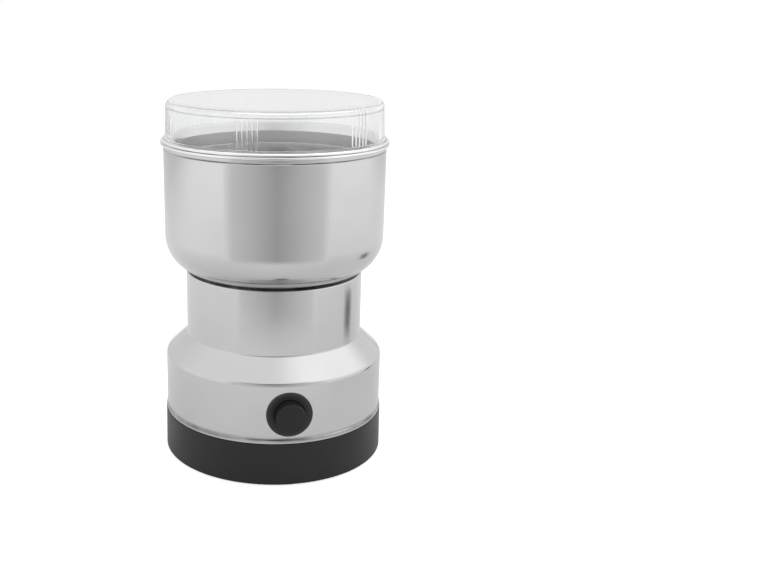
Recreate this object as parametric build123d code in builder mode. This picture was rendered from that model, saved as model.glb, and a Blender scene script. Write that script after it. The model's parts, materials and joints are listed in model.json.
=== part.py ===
from build123d import *
from math import cos, degrees, radians, sin, sqrt, tan
import os

os.makedirs("parts", exist_ok=True)

# Driving dimensions, in millimetres and degrees.
# The origin is on the grinder's axis, at the table. The push button faces -Y.

# Base, feet and cord inlet
foot_stand = 0.6
foot_socket = 1.0
foot_radius = 6.0
foot_play = 0.1
foot_inset = 10.5
foot_chamfer = 0.6
foot_count = 4
base_floor = 2.6
base_height = 19.5
base_step = 0.2
base_draft = 0.25
base_edge = 0.6
spigot_height = 5.0
spigot_wall = 2.2
spigot_play = 0.2
vent_count = 12
vent_circle = 17.0
vent_length = 9.0
vent_width = 2.4
boss_radius = 4.8
boss_height = 5.0
base_screw_radius = 1.5
base_screw_head = 2.8
base_screw_head_height = 2.0
base_screw_sink = 3.4
base_screw_grip = 9.0
gland_bore = 3.5
gland_neck = 5.0
gland_collar = 7.0
gland_flange = 6.6
gland_flange_thickness = 1.8
gland_proud = 4.75
gland_play = 0.1
gland_edge = 1.0

# Steel body: skirt, shoulder and neck drawn from one sheet
shell_wall = 0.8
skirt_height = 27.9
shoulder_rise = 9.3
shoulder_round = 3.0
neck_root = 1.2
lip_width = 1.6
lip_edge = 0.7
hem_height = 1.9
hem_proud = 0.4

# Grinding bowl
bowl_radius = 50.6
bowl_height = 61.4
bowl_turn = 48.0
bowl_cone = 53.0
bowl_cone_share = 0.5
bowl_floor_gap = 0.5
bowl_wall = 0.8
rim_width = 2.1
rim_height = 3.0
rim_round = 1.4
rim_edge = 0.6
rim_flare = 0.6
rim_flare_height = 2.5
seam_gap = 0.7
seam_play = 0.1
seam_gasket_width = 4.0
bowl_screw_count = 3
bowl_screw_circle = 20.0
bowl_screw_radius = 1.5
bowl_screw_head = 3.0
bowl_screw_head_height = 1.8
bowl_screw_grip = 7.0
bowl_screw_boss = 3.4

# Lid
lid_height = 17.5
lid_wall = 2.0
lid_play = 0.35
lid_rest = 0.25
lid_draft = 0.6
lid_corner = 2.6
plug_depth = 10.0
plug_lead = 0.5
ledge_height = 2.2
ledge_proud = 0.9
rib_groups = 6
ribs_in_group = 5
rib_pitch = 2.15
rib_width = 1.0
rib_proud = 0.5
rib_turn = -112.0

# Push button
button_radius = 6.7
button_proud = 5.6
button_travel = 3.0
button_play = 0.3
button_edge = 0.6
button_collar = 7.5
button_collar_height = 2.0
button_spring_pocket = 4.2
button_crown = 2.6
button_stem = 1.4
button_stem_play = 0.3
bezel_radius = 10.3
bezel_proud = 0.6
bezel_dish = 0.4
bezel_rim = 1.3
bezel_barrel = 8.9
bezel_guide = 3.9
bezel_depth = 13.0
bezel_play = 0.2
switch_nut_radius = 11.4
switch_nut_height = 3.0
switch_block_width = 15.0
switch_block_depth = 6.5
terminal_width = 4.0
terminal_thickness = 0.8
terminal_length = 4.0
terminal_gap = 7.0
switch_gap = 4.05
spring_wire = 0.7
spring_play = 0.25

# Shaft and blade
shaft_radius = 3.0
stud_radius = 2.4
stud_grip = 4.0
snug = 0.02
blade_lift = 7.5
spacer_radius = 6.0
spacer_height = 2.0
blade_thickness = 1.5
blade_reach = 31.0
blade_root = 8.0
blade_width = 13.0
blade_tip_width = 9.0
blade_twist = 14.0
blade_rise = 3.0
blade_bevel = 2.6
blade_edge = 0.3
washer_radius = 5.4
washer_height = 0.8
nut_flats = 9.0
nut_height = 6.0
nut_dome = 1.6
seal_neck = 6.0
seal_flange = 9.0
seal_flange_thickness = 1.2
seal_top = 4.6
seal_height = 6.0
seal_play = 0.1
gasket_thickness = 1.0
gasket_inner = 12.0
gasket_outer = 29.0

# Motor, stacked upwards from the base floor
shaft_clearance = 4.8
fan_lift = 1.0
fan_height = 7.0
fan_plate = 1.4
fan_radius = 27.0
fan_hub = 6.0
fan_vanes = 12
fan_vane = 1.2
fan_edge = 1.0
fan_gap = 1.5
bearing_radius = 7.0
bearing_length = 9.0
bearing_play = 0.04
hub_wall = 3.5
thrust_play = 0.2
thrust_height = 1.8
thrust_radius = 5.5
commutator_radius = 9.0
commutator_length = 10.0
commutator_segments = 12
commutator_groove = 0.6
riser_gap = 1.5
winding_overhang = 6.5
winding_radius = 12.4
winding_round = 2.0
winding_bar = 1.5
slot_play = 0.15
armature_radius = 13.5
armature_slots = 12
slot_mouth = 1.2
slot_depth = 3.4
air_gap = 0.5
stack_length = 24.0
pole_half_width = 10.0
pole_tip = 1.2
coil_width = 5.0
coil_side = 6.2
coil_overhang = 6.0
coil_play = 0.3
coil_round = 4.0
yoke_wall = 4.5
stator_gap = 1.8
stator_round = 9.0
bolt_radius = 2.0
bolt_head = 3.4
bolt_head_height = 2.4
bolt_play = 0.1
bolt_wall = 2.4
bolt_grip = 8.0
post_radius = 4.2
top_clearance = 5.5
frame_plate = 4.0
frame_play = 0.2
leg_radius = 3.5
leg_inset = 1.8
leg_count = 3
bracket_plate = 4.0
bracket_arm = 14.0
brush_size = 6.0
brush_length = 9.0
brush_gap = 0.1
brush_play = 0.1
holder_wall = 1.4
holder_gap = 1.0
holder_length = 15.0
lead_radius = 0.9
lead_bend = 1.8
lead_drop = 3.6

# Heights, worked upwards from the table
z_base = foot_stand
z_floor = z_base + base_floor
z_seat = z_base + base_height
z_shoulder = z_seat + skirt_height
z_neck = z_shoulder + shoulder_rise
z_shaft = z_floor + shaft_clearance
z_fan = z_shaft + fan_lift
z_lower_bearing = z_fan + fan_height + fan_gap
z_bracket = z_lower_bearing + bearing_length
z_thrust = z_bracket + thrust_play
z_commutator = z_thrust + thrust_height
z_brush = z_commutator + commutator_length / 2
z_winding = z_commutator + commutator_length + riser_gap
z_stack = z_winding + winding_overhang
z_stack_top = z_stack + stack_length
z_plate = z_stack_top + coil_overhang + top_clearance
z_frame = z_plate + frame_plate
z_bowl = z_frame + gasket_thickness
z_bowl_floor = z_bowl + bowl_wall
z_rim = z_bowl + bowl_height
z_lid = z_rim + lid_height
z_button = (z_seat + z_shoulder) / 2

# The motor's outline, from the armature outwards
bearing_bore = shaft_radius + bearing_play
hub_radius = bearing_radius + hub_wall
stator_bore = armature_radius + air_gap
coil_inner = stator_bore + pole_tip
window_x = coil_inner + coil_width + coil_play
window_y = pole_half_width + coil_side + 2 * coil_play
bolt_offset = window_y + bolt_wall + bolt_play
stator_half_width = window_x + yoke_wall
stator_half_depth = bolt_offset + bolt_radius + bolt_wall
holder_size = brush_size + 2 * (brush_play + holder_wall)
holder_start = commutator_radius + holder_gap
holder_end = holder_start + holder_length
brush_end = commutator_radius + brush_gap + brush_length
motor_sides = (1, -1)

# The neck closes round the legs beside the motor, the skirt round the switch in front of it
leg_angles = [90 + 360 / leg_count * i for i in range(leg_count)]
leg_circle = (stator_half_width + stator_gap + leg_radius) / abs(cos(radians(leg_angles[1])))
neck_inner = leg_circle + leg_radius + leg_inset
neck_radius = neck_inner + shell_wall
frame_radius = neck_inner - frame_play
lip_inner = neck_radius - lip_width
switch_depth = bezel_depth + switch_block_depth + terminal_length
skirt_radius = bolt_offset + post_radius + switch_gap + switch_depth
shell_inner = skirt_radius - shell_wall
base_top_radius = skirt_radius + hem_proud + base_step
base_radius = base_top_radius + base_draft
spigot_radius = shell_inner - spigot_play
base_inner = spigot_radius - spigot_wall
foot_circle = base_radius - foot_inset

# The bowl's wall turns in on an arc and runs down a cone to its flat floor, just inside the neck's lip
bowl_inner = bowl_radius - bowl_wall
rim_radius = bowl_inner + rim_width
plug_radius = bowl_inner - lid_play
lid_top_radius = plug_radius - lid_draft
floor_radius = lip_inner - bowl_floor_gap
corner_end = floor_radius + bowl_cone_share * (bowl_radius - floor_radius)
bowl_corner = (bowl_radius - corner_end) / (1 - cos(radians(bowl_turn)))
corner_centre = bowl_radius - bowl_corner
cone_slope = tan(radians(bowl_cone))
z_cone_top = z_bowl + (corner_end - floor_radius) / cone_slope
z_corner = z_cone_top + bowl_corner * sin(radians(bowl_turn))
seam_radius = neck_radius - lip_edge
z_neck_top = z_bowl + (seam_radius - floor_radius) / cone_slope - seam_gap

# The button's own plane: origin on the skirt's front line, normal pointing out of the body
button_plane = Plane(origin=(0, -skirt_radius, z_button), x_dir=(1, 0, 0), z_dir=(0, -1, 0))
gland_plane = Plane(origin=(0, 0, (z_base + z_seat) / 2), x_dir=(-1, 0, 0), z_dir=(0, 1, 0))


# Base: a drafted cup with a spigot for the shell, screw bosses, vents and sockets for the feet
with BuildPart() as base:
    with BuildSketch(Plane.XZ):
        with BuildLine():
            Polyline(
                (0, z_base),
                (base_radius, z_base),
                (base_top_radius, z_seat),
                (spigot_radius, z_seat),
                (spigot_radius, z_seat + spigot_height),
                (base_inner, z_seat + spigot_height),
                (base_inner, z_floor),
                (0, z_floor),
                close=True,
            )
        make_face()
    revolve(axis=Axis.Z)
    fillet(base.edges().filter_by(GeomType.CIRCLE).group_by(Axis.Z)[0], base_edge)
    with BuildSketch(Plane.XY.offset(z_floor)):
        with PolarLocations(leg_circle, leg_count, start_angle=leg_angles[0]):
            Circle(boss_radius)
    extrude(amount=boss_height)
    with BuildSketch(Plane.XY.offset(z_base)):
        with PolarLocations(foot_circle, foot_count, start_angle=180 / foot_count):
            Circle(foot_radius + foot_play)
    extrude(amount=foot_socket, mode=Mode.SUBTRACT)
    with BuildSketch(Plane.XY.offset(z_base)):
        with PolarLocations(vent_circle, vent_count):
            SlotOverall(vent_length, vent_width)
    extrude(amount=base_floor, mode=Mode.SUBTRACT)
    with Locations(Plane.XY.offset(z_base).rotated((180, 0, 0))):
        with PolarLocations(leg_circle, leg_count, start_angle=-leg_angles[0]):
            CounterBoreHole(base_screw_radius + snug, base_screw_head + foot_play, base_screw_sink)
    with BuildSketch(gland_plane):
        Circle(gland_neck + gland_play)
    extrude(amount=base_radius, mode=Mode.SUBTRACT)
    with BuildSketch(button_plane):
        Circle(switch_nut_radius + spigot_play)
    extrude(amount=-bezel_depth, mode=Mode.SUBTRACT)
base.part.label = "base"
export_step(base.part, "parts/base.step")

# Feet: four rubber discs in their sockets
with BuildPart() as feet:
    with BuildSketch(Plane.XY):
        with PolarLocations(foot_circle, foot_count, start_angle=180 / foot_count):
            Circle(foot_radius)
    extrude(amount=foot_stand + foot_socket)
    chamfer(feet.edges().group_by(Axis.Z)[0], foot_chamfer)
feet.part.label = "feet"
export_step(feet.part, "parts/feet.step")

# Base screws: pan heads sunk in the base, shanks in the legs of the motor frame
z_base_screw = z_base + base_screw_sink
with BuildPart() as base_screws:
    with BuildSketch(Plane.XY.offset(z_base_screw)):
        with PolarLocations(leg_circle, leg_count, start_angle=leg_angles[0]):
            Circle(base_screw_radius)
    extrude(amount=z_floor + boss_height + base_screw_grip - z_base_screw)
    with BuildSketch(Plane.XY.offset(z_base_screw)):
        with PolarLocations(leg_circle, leg_count, start_angle=leg_angles[0]):
            Circle(base_screw_head)
    extrude(amount=-base_screw_head_height)
base_screws.part.label = "base_screws"
export_step(base_screws.part, "parts/base_screws.step")

# Cord gland: collar outside the base, neck through its wall, flange inside
gland_seat = sqrt(base_inner**2 - gland_flange**2) - gland_play
gland_end = base_radius + gland_proud
with BuildPart() as cord_gland:
    with BuildSketch(gland_plane.offset(sqrt(base_top_radius**2 - gland_collar**2))):
        Circle(gland_collar)
    extrude(amount=gland_end - sqrt(base_top_radius**2 - gland_collar**2))
    fillet(cord_gland.edges().group_by(Axis.Y)[-1], gland_edge)
    with BuildSketch(Plane.XY):
        Circle(base_radius + gland_play)
    extrude(amount=z_seat, mode=Mode.SUBTRACT)
    with BuildSketch(gland_plane.offset(gland_seat)):
        Circle(gland_neck)
    extrude(amount=gland_end - gland_edge - gland_seat)
    with BuildSketch(gland_plane.offset(gland_seat)):
        Circle(gland_flange)
    extrude(amount=-gland_flange_thickness)
    with BuildSketch(gland_plane.offset(gland_seat - gland_flange_thickness)):
        Circle(gland_bore)
    extrude(amount=gland_end - gland_seat + gland_flange_thickness, mode=Mode.SUBTRACT)
cord_gland.part.label = "cord_gland"
export_step(cord_gland.part, "parts/cord_gland.step")

# Body shell: skirt, shoulder, neck and inturned lip, hollowed to sheet thickness, with a rolled hem
with BuildPart() as body_shell:
    with BuildSketch(Plane.XZ):
        with BuildLine():
            Polyline(
                (0, z_seat),
                (skirt_radius, z_seat),
                (skirt_radius, z_shoulder),
                (neck_radius, z_neck),
                (neck_radius, z_neck_top),
                (0, z_neck_top),
                close=True,
            )
        make_face()
    revolve(axis=Axis.Z)
    circles = body_shell.edges().filter_by(GeomType.CIRCLE).sort_by(Axis.Z)
    fillet(circles[1], shoulder_round)
    circles = body_shell.edges().filter_by(GeomType.CIRCLE).sort_by(Axis.Z)
    fillet(circles[-2], neck_root)
    offset(amount=-shell_wall, openings=body_shell.faces().sort_by(Axis.Z)[0])
    with BuildSketch(Plane.XY.offset(z_neck_top)):
        Circle(lip_inner)
    extrude(amount=-shell_wall, mode=Mode.SUBTRACT)
    lip_edges = body_shell.edges().filter_by(GeomType.CIRCLE).group_by(Axis.Z)[-1]
    fillet(lip_edges.sort_by(SortBy.RADIUS)[-1], lip_edge)
    with BuildSketch(Plane.XZ):
        with BuildLine():
            Polyline(
                (shell_inner, z_seat),
                (skirt_radius + hem_proud, z_seat),
                (skirt_radius + hem_proud, z_seat + hem_height),
                (shell_inner, z_seat + hem_height),
                close=True,
            )
        hem_face = make_face()
        fillet(hem_face.vertices().group_by(Axis.X)[-1], hem_proud)
    revolve(axis=Axis.Z)
    with BuildSketch(button_plane):
        Circle(bezel_barrel + bezel_play)
    extrude(amount=-bezel_depth, mode=Mode.SUBTRACT)
body_shell.part.label = "body_shell"
export_step(body_shell.part, "parts/body_shell.step")

# Bowl: deep-drawn steel with a rounded bottom and a rolled rim
with BuildPart() as bowl:
    with BuildSketch(Plane.XZ):
        with BuildLine():
            outer_arc = CenterArc((corner_centre, z_corner), bowl_corner, -bowl_turn, bowl_turn)
            inner_arc = CenterArc((corner_centre, z_corner), bowl_corner - bowl_wall, -bowl_turn, bowl_turn)
            inner_floor = (inner_arc @ 0).X - ((inner_arc @ 0).Y - z_bowl_floor) * cone_slope
            Polyline(
                outer_arc @ 1,
                (bowl_radius, z_rim - rim_height - rim_flare_height),
                (bowl_radius + rim_flare, z_rim - rim_height),
                (rim_radius, z_rim - rim_height),
                (rim_radius, z_rim),
                (bowl_inner, z_rim),
                inner_arc @ 1,
            )
            Polyline(
                inner_arc @ 0,
                (inner_floor, z_bowl_floor),
                (seal_neck, z_bowl_floor),
                (seal_neck, z_bowl),
                (floor_radius, z_bowl),
                outer_arc @ 0,
            )
        bowl_face = make_face()
        rim_corners = bowl_face.vertices().group_by(Axis.Y)[-1].sort_by(Axis.X)
        fillet(rim_corners[0], rim_edge)
        fillet(rim_corners[-1], rim_round)
        fillet(bowl_face.vertices().group_by(Axis.X)[-1].sort_by(Axis.Y)[0], rim_edge)
    revolve(axis=Axis.Z)
    with BuildSketch(Plane.XY.offset(z_bowl)):
        with PolarLocations(bowl_screw_circle, bowl_screw_count):
            Circle(bowl_screw_radius + bolt_play)
    extrude(amount=bowl_wall, mode=Mode.SUBTRACT)
bowl.part.label = "bowl"
export_step(bowl.part, "parts/bowl.step")

# Seam gasket: dark ring inside the neck's lip, between the frame and the foot of the bowl's cone
gasket_edge = lip_inner - seam_play
with BuildPart() as seam_gasket:
    with BuildSketch(Plane.XZ):
        with BuildLine():
            Polyline(
                (gasket_edge - seam_gasket_width, z_frame),
                (gasket_edge, z_frame),
                (gasket_edge, z_bowl + (gasket_edge - floor_radius) / cone_slope - seam_play),
                (floor_radius, z_bowl - seam_play),
                (floor_radius, z_bowl),
                (gasket_edge - seam_gasket_width, z_bowl),
                close=True,
            )
        make_face()
    revolve(axis=Axis.Z)
seam_gasket.part.label = "seam_gasket"
export_step(seam_gasket.part, "parts/seam_gasket.step")

# Floor gasket: flat damping ring between the bowl's floor and the motor frame
with BuildPart() as floor_gasket:
    with BuildSketch(Plane.XY.offset(z_frame)):
        Circle(gasket_outer)
        Circle(gasket_inner, mode=Mode.SUBTRACT)
        with PolarLocations(bowl_screw_circle, bowl_screw_count):
            Circle(bowl_screw_radius + bolt_play, mode=Mode.SUBTRACT)
    extrude(amount=gasket_thickness)
floor_gasket.part.label = "floor_gasket"
export_step(floor_gasket.part, "parts/floor_gasket.step")

# Bowl screws: pan heads on the bowl's floor, shanks in the bosses of the motor frame
with BuildPart() as bowl_screws:
    with BuildSketch(Plane.XY.offset(z_bowl_floor)):
        with PolarLocations(bowl_screw_circle, bowl_screw_count):
            Circle(bowl_screw_head)
    extrude(amount=bowl_screw_head_height)
    fillet(bowl_screws.edges().group_by(Axis.Z)[-1], bowl_screw_head_height / 2)
    with BuildSketch(Plane.XY.offset(z_bowl_floor)):
        with PolarLocations(bowl_screw_circle, bowl_screw_count):
            Circle(bowl_screw_radius)
    extrude(amount=-(bowl_wall + gasket_thickness + bowl_screw_grip))
bowl_screws.part.label = "bowl_screws"
export_step(bowl_screws.part, "parts/bowl_screws.step")

# Lid rib: one grip rib, standing on the ledge against the drafted wall
z_ledge = z_rim + lid_rest
z_ledge_top = z_ledge + ledge_height
z_rib_top = z_lid - lid_corner
rib_taper = lid_draft * (z_rib_top - z_ledge_top) / (z_lid - z_ledge_top)
with BuildPart() as rib:
    with BuildSketch(Plane.XZ):
        with BuildLine():
            Polyline(
                (plug_radius - lid_wall / 2, z_ledge_top),
                (plug_radius + rib_proud, z_ledge_top),
                (plug_radius - rib_taper + rib_proud, z_rib_top),
                (plug_radius - rib_taper - lid_wall / 2, z_rib_top + rib_proud),
                close=True,
            )
        make_face()
    extrude(amount=rib_width / 2, both=True)

# Lid: clear cap with a drafted wall, a ledge that rests on the rim and a plug inside the bowl
rib_step = degrees(rib_pitch / plug_radius)
with BuildPart() as lid:
    with BuildSketch(Plane.XZ):
        with BuildLine():
            Polyline(
                (0, z_lid),
                (lid_top_radius, z_lid),
                (plug_radius, z_ledge_top),
                (plug_radius + ledge_proud, z_ledge_top),
                (plug_radius + ledge_proud, z_ledge),
                (plug_radius, z_ledge),
                (plug_radius - plug_lead, z_rim - plug_depth),
                (plug_radius - lid_wall, z_rim - plug_depth),
                (lid_top_radius - lid_wall, z_lid - lid_wall),
                (0, z_lid - lid_wall),
                close=True,
            )
        make_face()
    revolve(axis=Axis.Z)
    fillet(lid.edges().filter_by(GeomType.CIRCLE).sort_by(Axis.Z)[-1], lid_corner)
    for group in range(rib_groups):
        first_rib = rib_turn + 360 / rib_groups * group - rib_step * (ribs_in_group - 1) / 2
        with PolarLocations(0, ribs_in_group, first_rib, rib_step * ribs_in_group):
            add(rib.part)
lid.part.label = "lid"
export_step(lid.part, "parts/lid.step")

# Switch bezel: dished flange on the skirt, barrel through it, guide for the button at its mouth
with BuildPart() as switch_bezel:
    with BuildSketch(button_plane.offset(bezel_proud)):
        Circle(bezel_radius)
    extrude(amount=-(bezel_proud + bezel_guide))
    with BuildSketch(Plane.XY.offset(z_seat)):
        Circle(skirt_radius + snug)
    extrude(amount=skirt_height, mode=Mode.SUBTRACT)
    fillet(switch_bezel.edges().group_by(Axis.Y)[0], bezel_dish)
    with BuildSketch(button_plane):
        Circle(bezel_barrel)
    extrude(amount=-bezel_depth)
    with BuildSketch(button_plane):
        Circle(button_radius + button_play)
    extrude(amount=bezel_proud, mode=Mode.SUBTRACT)
    with BuildSketch(button_plane):
        Circle(button_radius + button_play)
    extrude(amount=-bezel_guide, mode=Mode.SUBTRACT)
    with BuildSketch(button_plane.offset(-bezel_guide)):
        Circle(button_collar + button_play)
    extrude(amount=bezel_guide - bezel_depth, mode=Mode.SUBTRACT)
    with BuildSketch(button_plane.offset(bezel_proud)):
        Circle(bezel_radius - bezel_rim)
    with BuildSketch(button_plane.offset(bezel_proud - bezel_dish)):
        Circle(button_radius + button_play)
    loft(mode=Mode.SUBTRACT)
switch_bezel.part.label = "switch_bezel"
export_step(switch_bezel.part, "parts/switch_bezel.step")

# Switch nut: ring nut behind the skirt's curved wall
nut_seat = skirt_radius - sqrt(shell_inner**2 - switch_nut_radius**2) + snug
with BuildPart() as switch_nut:
    with BuildSketch(button_plane.offset(-nut_seat)):
        RegularPolygon(switch_nut_radius, 6)
        Circle(bezel_barrel + snug, mode=Mode.SUBTRACT)
    extrude(amount=-switch_nut_height)
switch_nut.part.label = "switch_nut"
export_step(switch_nut.part, "parts/switch_nut.step")

# Button cap: round button with a stop collar, a spring pocket and a stem into the contact block
z_collar = -bezel_guide - button_play
z_cap_back = z_collar - button_collar_height
with BuildPart() as button_cap:
    with BuildSketch(button_plane.offset(z_cap_back)):
        Circle(button_radius)
    extrude(amount=button_proud - z_cap_back)
    fillet(button_cap.edges().group_by(Axis.Y)[0], button_edge)
    with BuildSketch(button_plane.offset(z_cap_back)):
        Circle(button_collar)
    extrude(amount=button_collar_height)
    with BuildSketch(button_plane.offset(z_cap_back)):
        Circle(button_spring_pocket)
    extrude(amount=button_proud - button_crown - z_cap_back, mode=Mode.SUBTRACT)
    with BuildSketch(button_plane.offset(button_proud - button_crown)):
        Circle(button_stem)
    extrude(amount=-(button_proud - button_crown + bezel_depth + button_stem))
button_cap.part.label = "button_cap"
export_step(button_cap.part, "parts/button_cap.step")

# Button spring: sleeve of the spring's outer shape, from the contact block to the cap's pocket
spring_radius = button_spring_pocket - spring_play
with BuildPart() as button_spring:
    with BuildSketch(button_plane.offset(-bezel_depth)):
        Circle(spring_radius)
        Circle(spring_radius - spring_wire, mode=Mode.SUBTRACT)
    extrude(amount=bezel_depth + button_proud - button_crown - spring_play)
button_spring.part.label = "button_spring"
export_step(button_spring.part, "parts/button_spring.step")

# Switch block: contact block closing the barrel, with a guide hole for the stem
with BuildPart() as switch_block:
    with BuildSketch(button_plane.offset(-bezel_depth)):
        Rectangle(switch_block_width, switch_block_width)
    extrude(amount=-switch_block_depth)
    with BuildSketch(button_plane.offset(-bezel_depth)):
        Circle(button_stem + button_stem_play)
    extrude(amount=-(button_stem + button_travel + button_stem_play), mode=Mode.SUBTRACT)
switch_block.part.label = "switch_block"
export_step(switch_block.part, "parts/switch_block.step")

# Switch terminals: two tabs on the back of the contact block
terminal_start = bezel_depth + switch_block_depth
with BuildPart() as switch_terminals:
    with BuildSketch(button_plane.offset(-terminal_start)):
        with GridLocations(terminal_gap, 0, 2, 1):
            Rectangle(terminal_thickness, terminal_width)
    extrude(amount=-terminal_length)
switch_terminals.part.label = "switch_terminals"
export_step(switch_terminals.part, "parts/switch_terminals.step")

# Motor frame: plate under the bowl, legs down to the base, bearing hub and posts for the field core
with BuildPart() as motor_frame:
    with BuildSketch(Plane.XZ):
        with BuildLine():
            Polyline(
                (bearing_radius + snug, z_frame),
                (lip_inner, z_frame),
                (lip_inner, z_neck_top - shell_wall),
                (frame_radius, z_neck_top - shell_wall),
                (frame_radius, z_plate),
                (hub_radius, z_plate),
                (hub_radius, z_frame - bearing_length),
                (bearing_radius + snug, z_frame - bearing_length),
                close=True,
            )
        make_face()
    revolve(axis=Axis.Z)
    with BuildSketch(Plane.XY.offset(z_plate)):
        with PolarLocations(leg_circle, leg_count, start_angle=leg_angles[0]):
            Circle(leg_radius)
    extrude(amount=z_floor + boss_height - z_plate)
    with BuildSketch(Plane.XY.offset(z_plate)):
        with GridLocations(0, 2 * bolt_offset, 1, 2):
            Circle(post_radius)
    extrude(amount=z_stack_top - z_plate)
    z_boss = z_frame - bowl_screw_grip - bowl_screw_radius
    with BuildSketch(Plane.XY.offset(z_plate)):
        with PolarLocations(bowl_screw_circle, bowl_screw_count):
            Circle(bowl_screw_boss)
    extrude(amount=z_boss - z_plate)
    with BuildSketch(Plane.XY.offset(z_boss)):
        with PolarLocations(bowl_screw_circle, bowl_screw_count):
            Circle(bowl_screw_radius + snug)
    extrude(amount=z_frame - z_boss, mode=Mode.SUBTRACT)
    with BuildSketch(Plane.XY.offset(z_floor + boss_height)):
        with PolarLocations(leg_circle, leg_count, start_angle=leg_angles[0]):
            Circle(base_screw_radius + snug)
    extrude(amount=base_screw_grip + base_screw_radius, mode=Mode.SUBTRACT)
    with BuildSketch(Plane.XY.offset(z_stack_top)):
        with GridLocations(0, 2 * bolt_offset, 1, 2):
            Circle(bolt_radius + snug)
    extrude(amount=bolt_grip + bolt_radius, mode=Mode.SUBTRACT)
motor_frame.part.label = "motor_frame"
export_step(motor_frame.part, "parts/motor_frame.step")

# Bearings: plain bushes in the frame's hub and the lower bracket's hub
with BuildPart() as upper_bearing:
    with BuildSketch(Plane.XY.offset(z_frame - bearing_length)):
        Circle(bearing_radius)
        Circle(bearing_bore, mode=Mode.SUBTRACT)
    extrude(amount=bearing_length)
upper_bearing.part.label = "upper_bearing"
export_step(upper_bearing.part, "parts/upper_bearing.step")

with BuildPart() as lower_bearing:
    with BuildSketch(Plane.XY.offset(z_lower_bearing)):
        Circle(bearing_radius)
        Circle(bearing_bore, mode=Mode.SUBTRACT)
    extrude(amount=bearing_length)
lower_bearing.part.label = "lower_bearing"
export_step(lower_bearing.part, "parts/lower_bearing.step")

# Shaft seal: rubber grommet in the bowl's floor, with a boot that rises round the shaft
with BuildPart() as shaft_seal:
    with BuildSketch(Plane.XZ):
        with BuildLine():
            Polyline(
                (shaft_radius + seal_play, z_frame),
                (seal_flange, z_frame),
                (seal_flange, z_bowl),
                (seal_neck, z_bowl),
                (seal_neck, z_bowl_floor),
                (seal_flange, z_bowl_floor),
                (seal_flange, z_bowl_floor + seal_flange_thickness),
                (seal_top, z_bowl_floor + seal_height),
                (shaft_radius + seal_play, z_bowl_floor + seal_height),
                close=True,
            )
        make_face()
    revolve(axis=Axis.Z)
shaft_seal.part.label = "shaft_seal"
export_step(shaft_seal.part, "parts/shaft_seal.step")

# Motor shaft: plain from the fan to the blade's shoulder, then a thinner stud for the nut
z_spacer = z_bowl_floor + blade_lift
z_blade = z_spacer + spacer_height
z_washer = z_blade + blade_thickness
z_nut = z_washer + washer_height
with BuildPart() as motor_shaft:
    with BuildSketch(Plane.XY.offset(z_shaft)):
        Circle(shaft_radius)
    extrude(amount=z_spacer - z_shaft)
    with BuildSketch(Plane.XY.offset(z_spacer)):
        Circle(stud_radius)
    extrude(amount=z_nut + stud_grip - z_spacer)
motor_shaft.part.label = "motor_shaft"
export_step(motor_shaft.part, "parts/motor_shaft.step")

# Blade: flat middle on the shaft, two twisted wings with a ground leading edge
z_blade_middle = z_blade + blade_thickness / 2
with BuildPart() as blade:
    with BuildSketch(Plane.XY.offset(z_blade)):
        Rectangle(2 * blade_root, blade_width)
    extrude(amount=blade_thickness)
    for side in motor_sides:
        for reach, width, turn, rise in (
            (blade_root, blade_width, 0, 0),
            (blade_reach, blade_tip_width, radians(blade_twist), blade_rise),
        ):
            section = Plane(
                origin=(side * reach, 0, z_blade_middle + rise),
                x_dir=(0, side * cos(turn), sin(turn)),
                z_dir=(side, 0, 0),
            )
            with BuildSketch(section):
                with BuildLine():
                    Polyline(
                        (-width / 2, -blade_thickness / 2),
                        (width / 2 - blade_bevel, -blade_thickness / 2),
                        (width / 2, blade_thickness / 2 - blade_edge),
                        (width / 2, blade_thickness / 2),
                        (-width / 2, blade_thickness / 2),
                        close=True,
                    )
                make_face()
        loft()
    with BuildSketch(Plane.XY.offset(z_blade)):
        Circle(stud_radius + snug)
    extrude(amount=blade_thickness, mode=Mode.SUBTRACT)
blade.part.label = "blade"
export_step(blade.part, "parts/blade.step")

# Blade spacer, washer and cap nut on the stud
with BuildPart() as blade_spacer:
    with BuildSketch(Plane.XY.offset(z_spacer)):
        Circle(spacer_radius)
        Circle(stud_radius + snug, mode=Mode.SUBTRACT)
    extrude(amount=spacer_height)
blade_spacer.part.label = "blade_spacer"
export_step(blade_spacer.part, "parts/blade_spacer.step")

with BuildPart() as blade_washer:
    with BuildSketch(Plane.XY.offset(z_washer)):
        Circle(washer_radius)
        Circle(stud_radius + snug, mode=Mode.SUBTRACT)
    extrude(amount=washer_height)
blade_washer.part.label = "blade_washer"
export_step(blade_washer.part, "parts/blade_washer.step")

with BuildPart() as blade_nut:
    with BuildSketch(Plane.XY.offset(z_nut)):
        RegularPolygon(nut_flats / 2, 6, major_radius=False)
    extrude(amount=nut_height - nut_dome)
    with BuildSketch(Plane.XZ):
        with BuildLine():
            Polyline(
                (0, z_nut + nut_height),
                (0, z_nut + nut_height - nut_dome),
                (nut_flats / 2, z_nut + nut_height - nut_dome),
            )
            TangentArc(
                (0, z_nut + nut_height),
                (nut_flats / 2, z_nut + nut_height - nut_dome),
                tangent=(1, 0),
            )
        make_face()
    revolve(axis=Axis.Z)
    with BuildSketch(Plane.XY.offset(z_nut)):
        Circle(stud_radius + snug)
    extrude(amount=stud_grip + snug, mode=Mode.SUBTRACT)
blade_nut.part.label = "blade_nut"
export_step(blade_nut.part, "parts/blade_nut.step")

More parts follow.
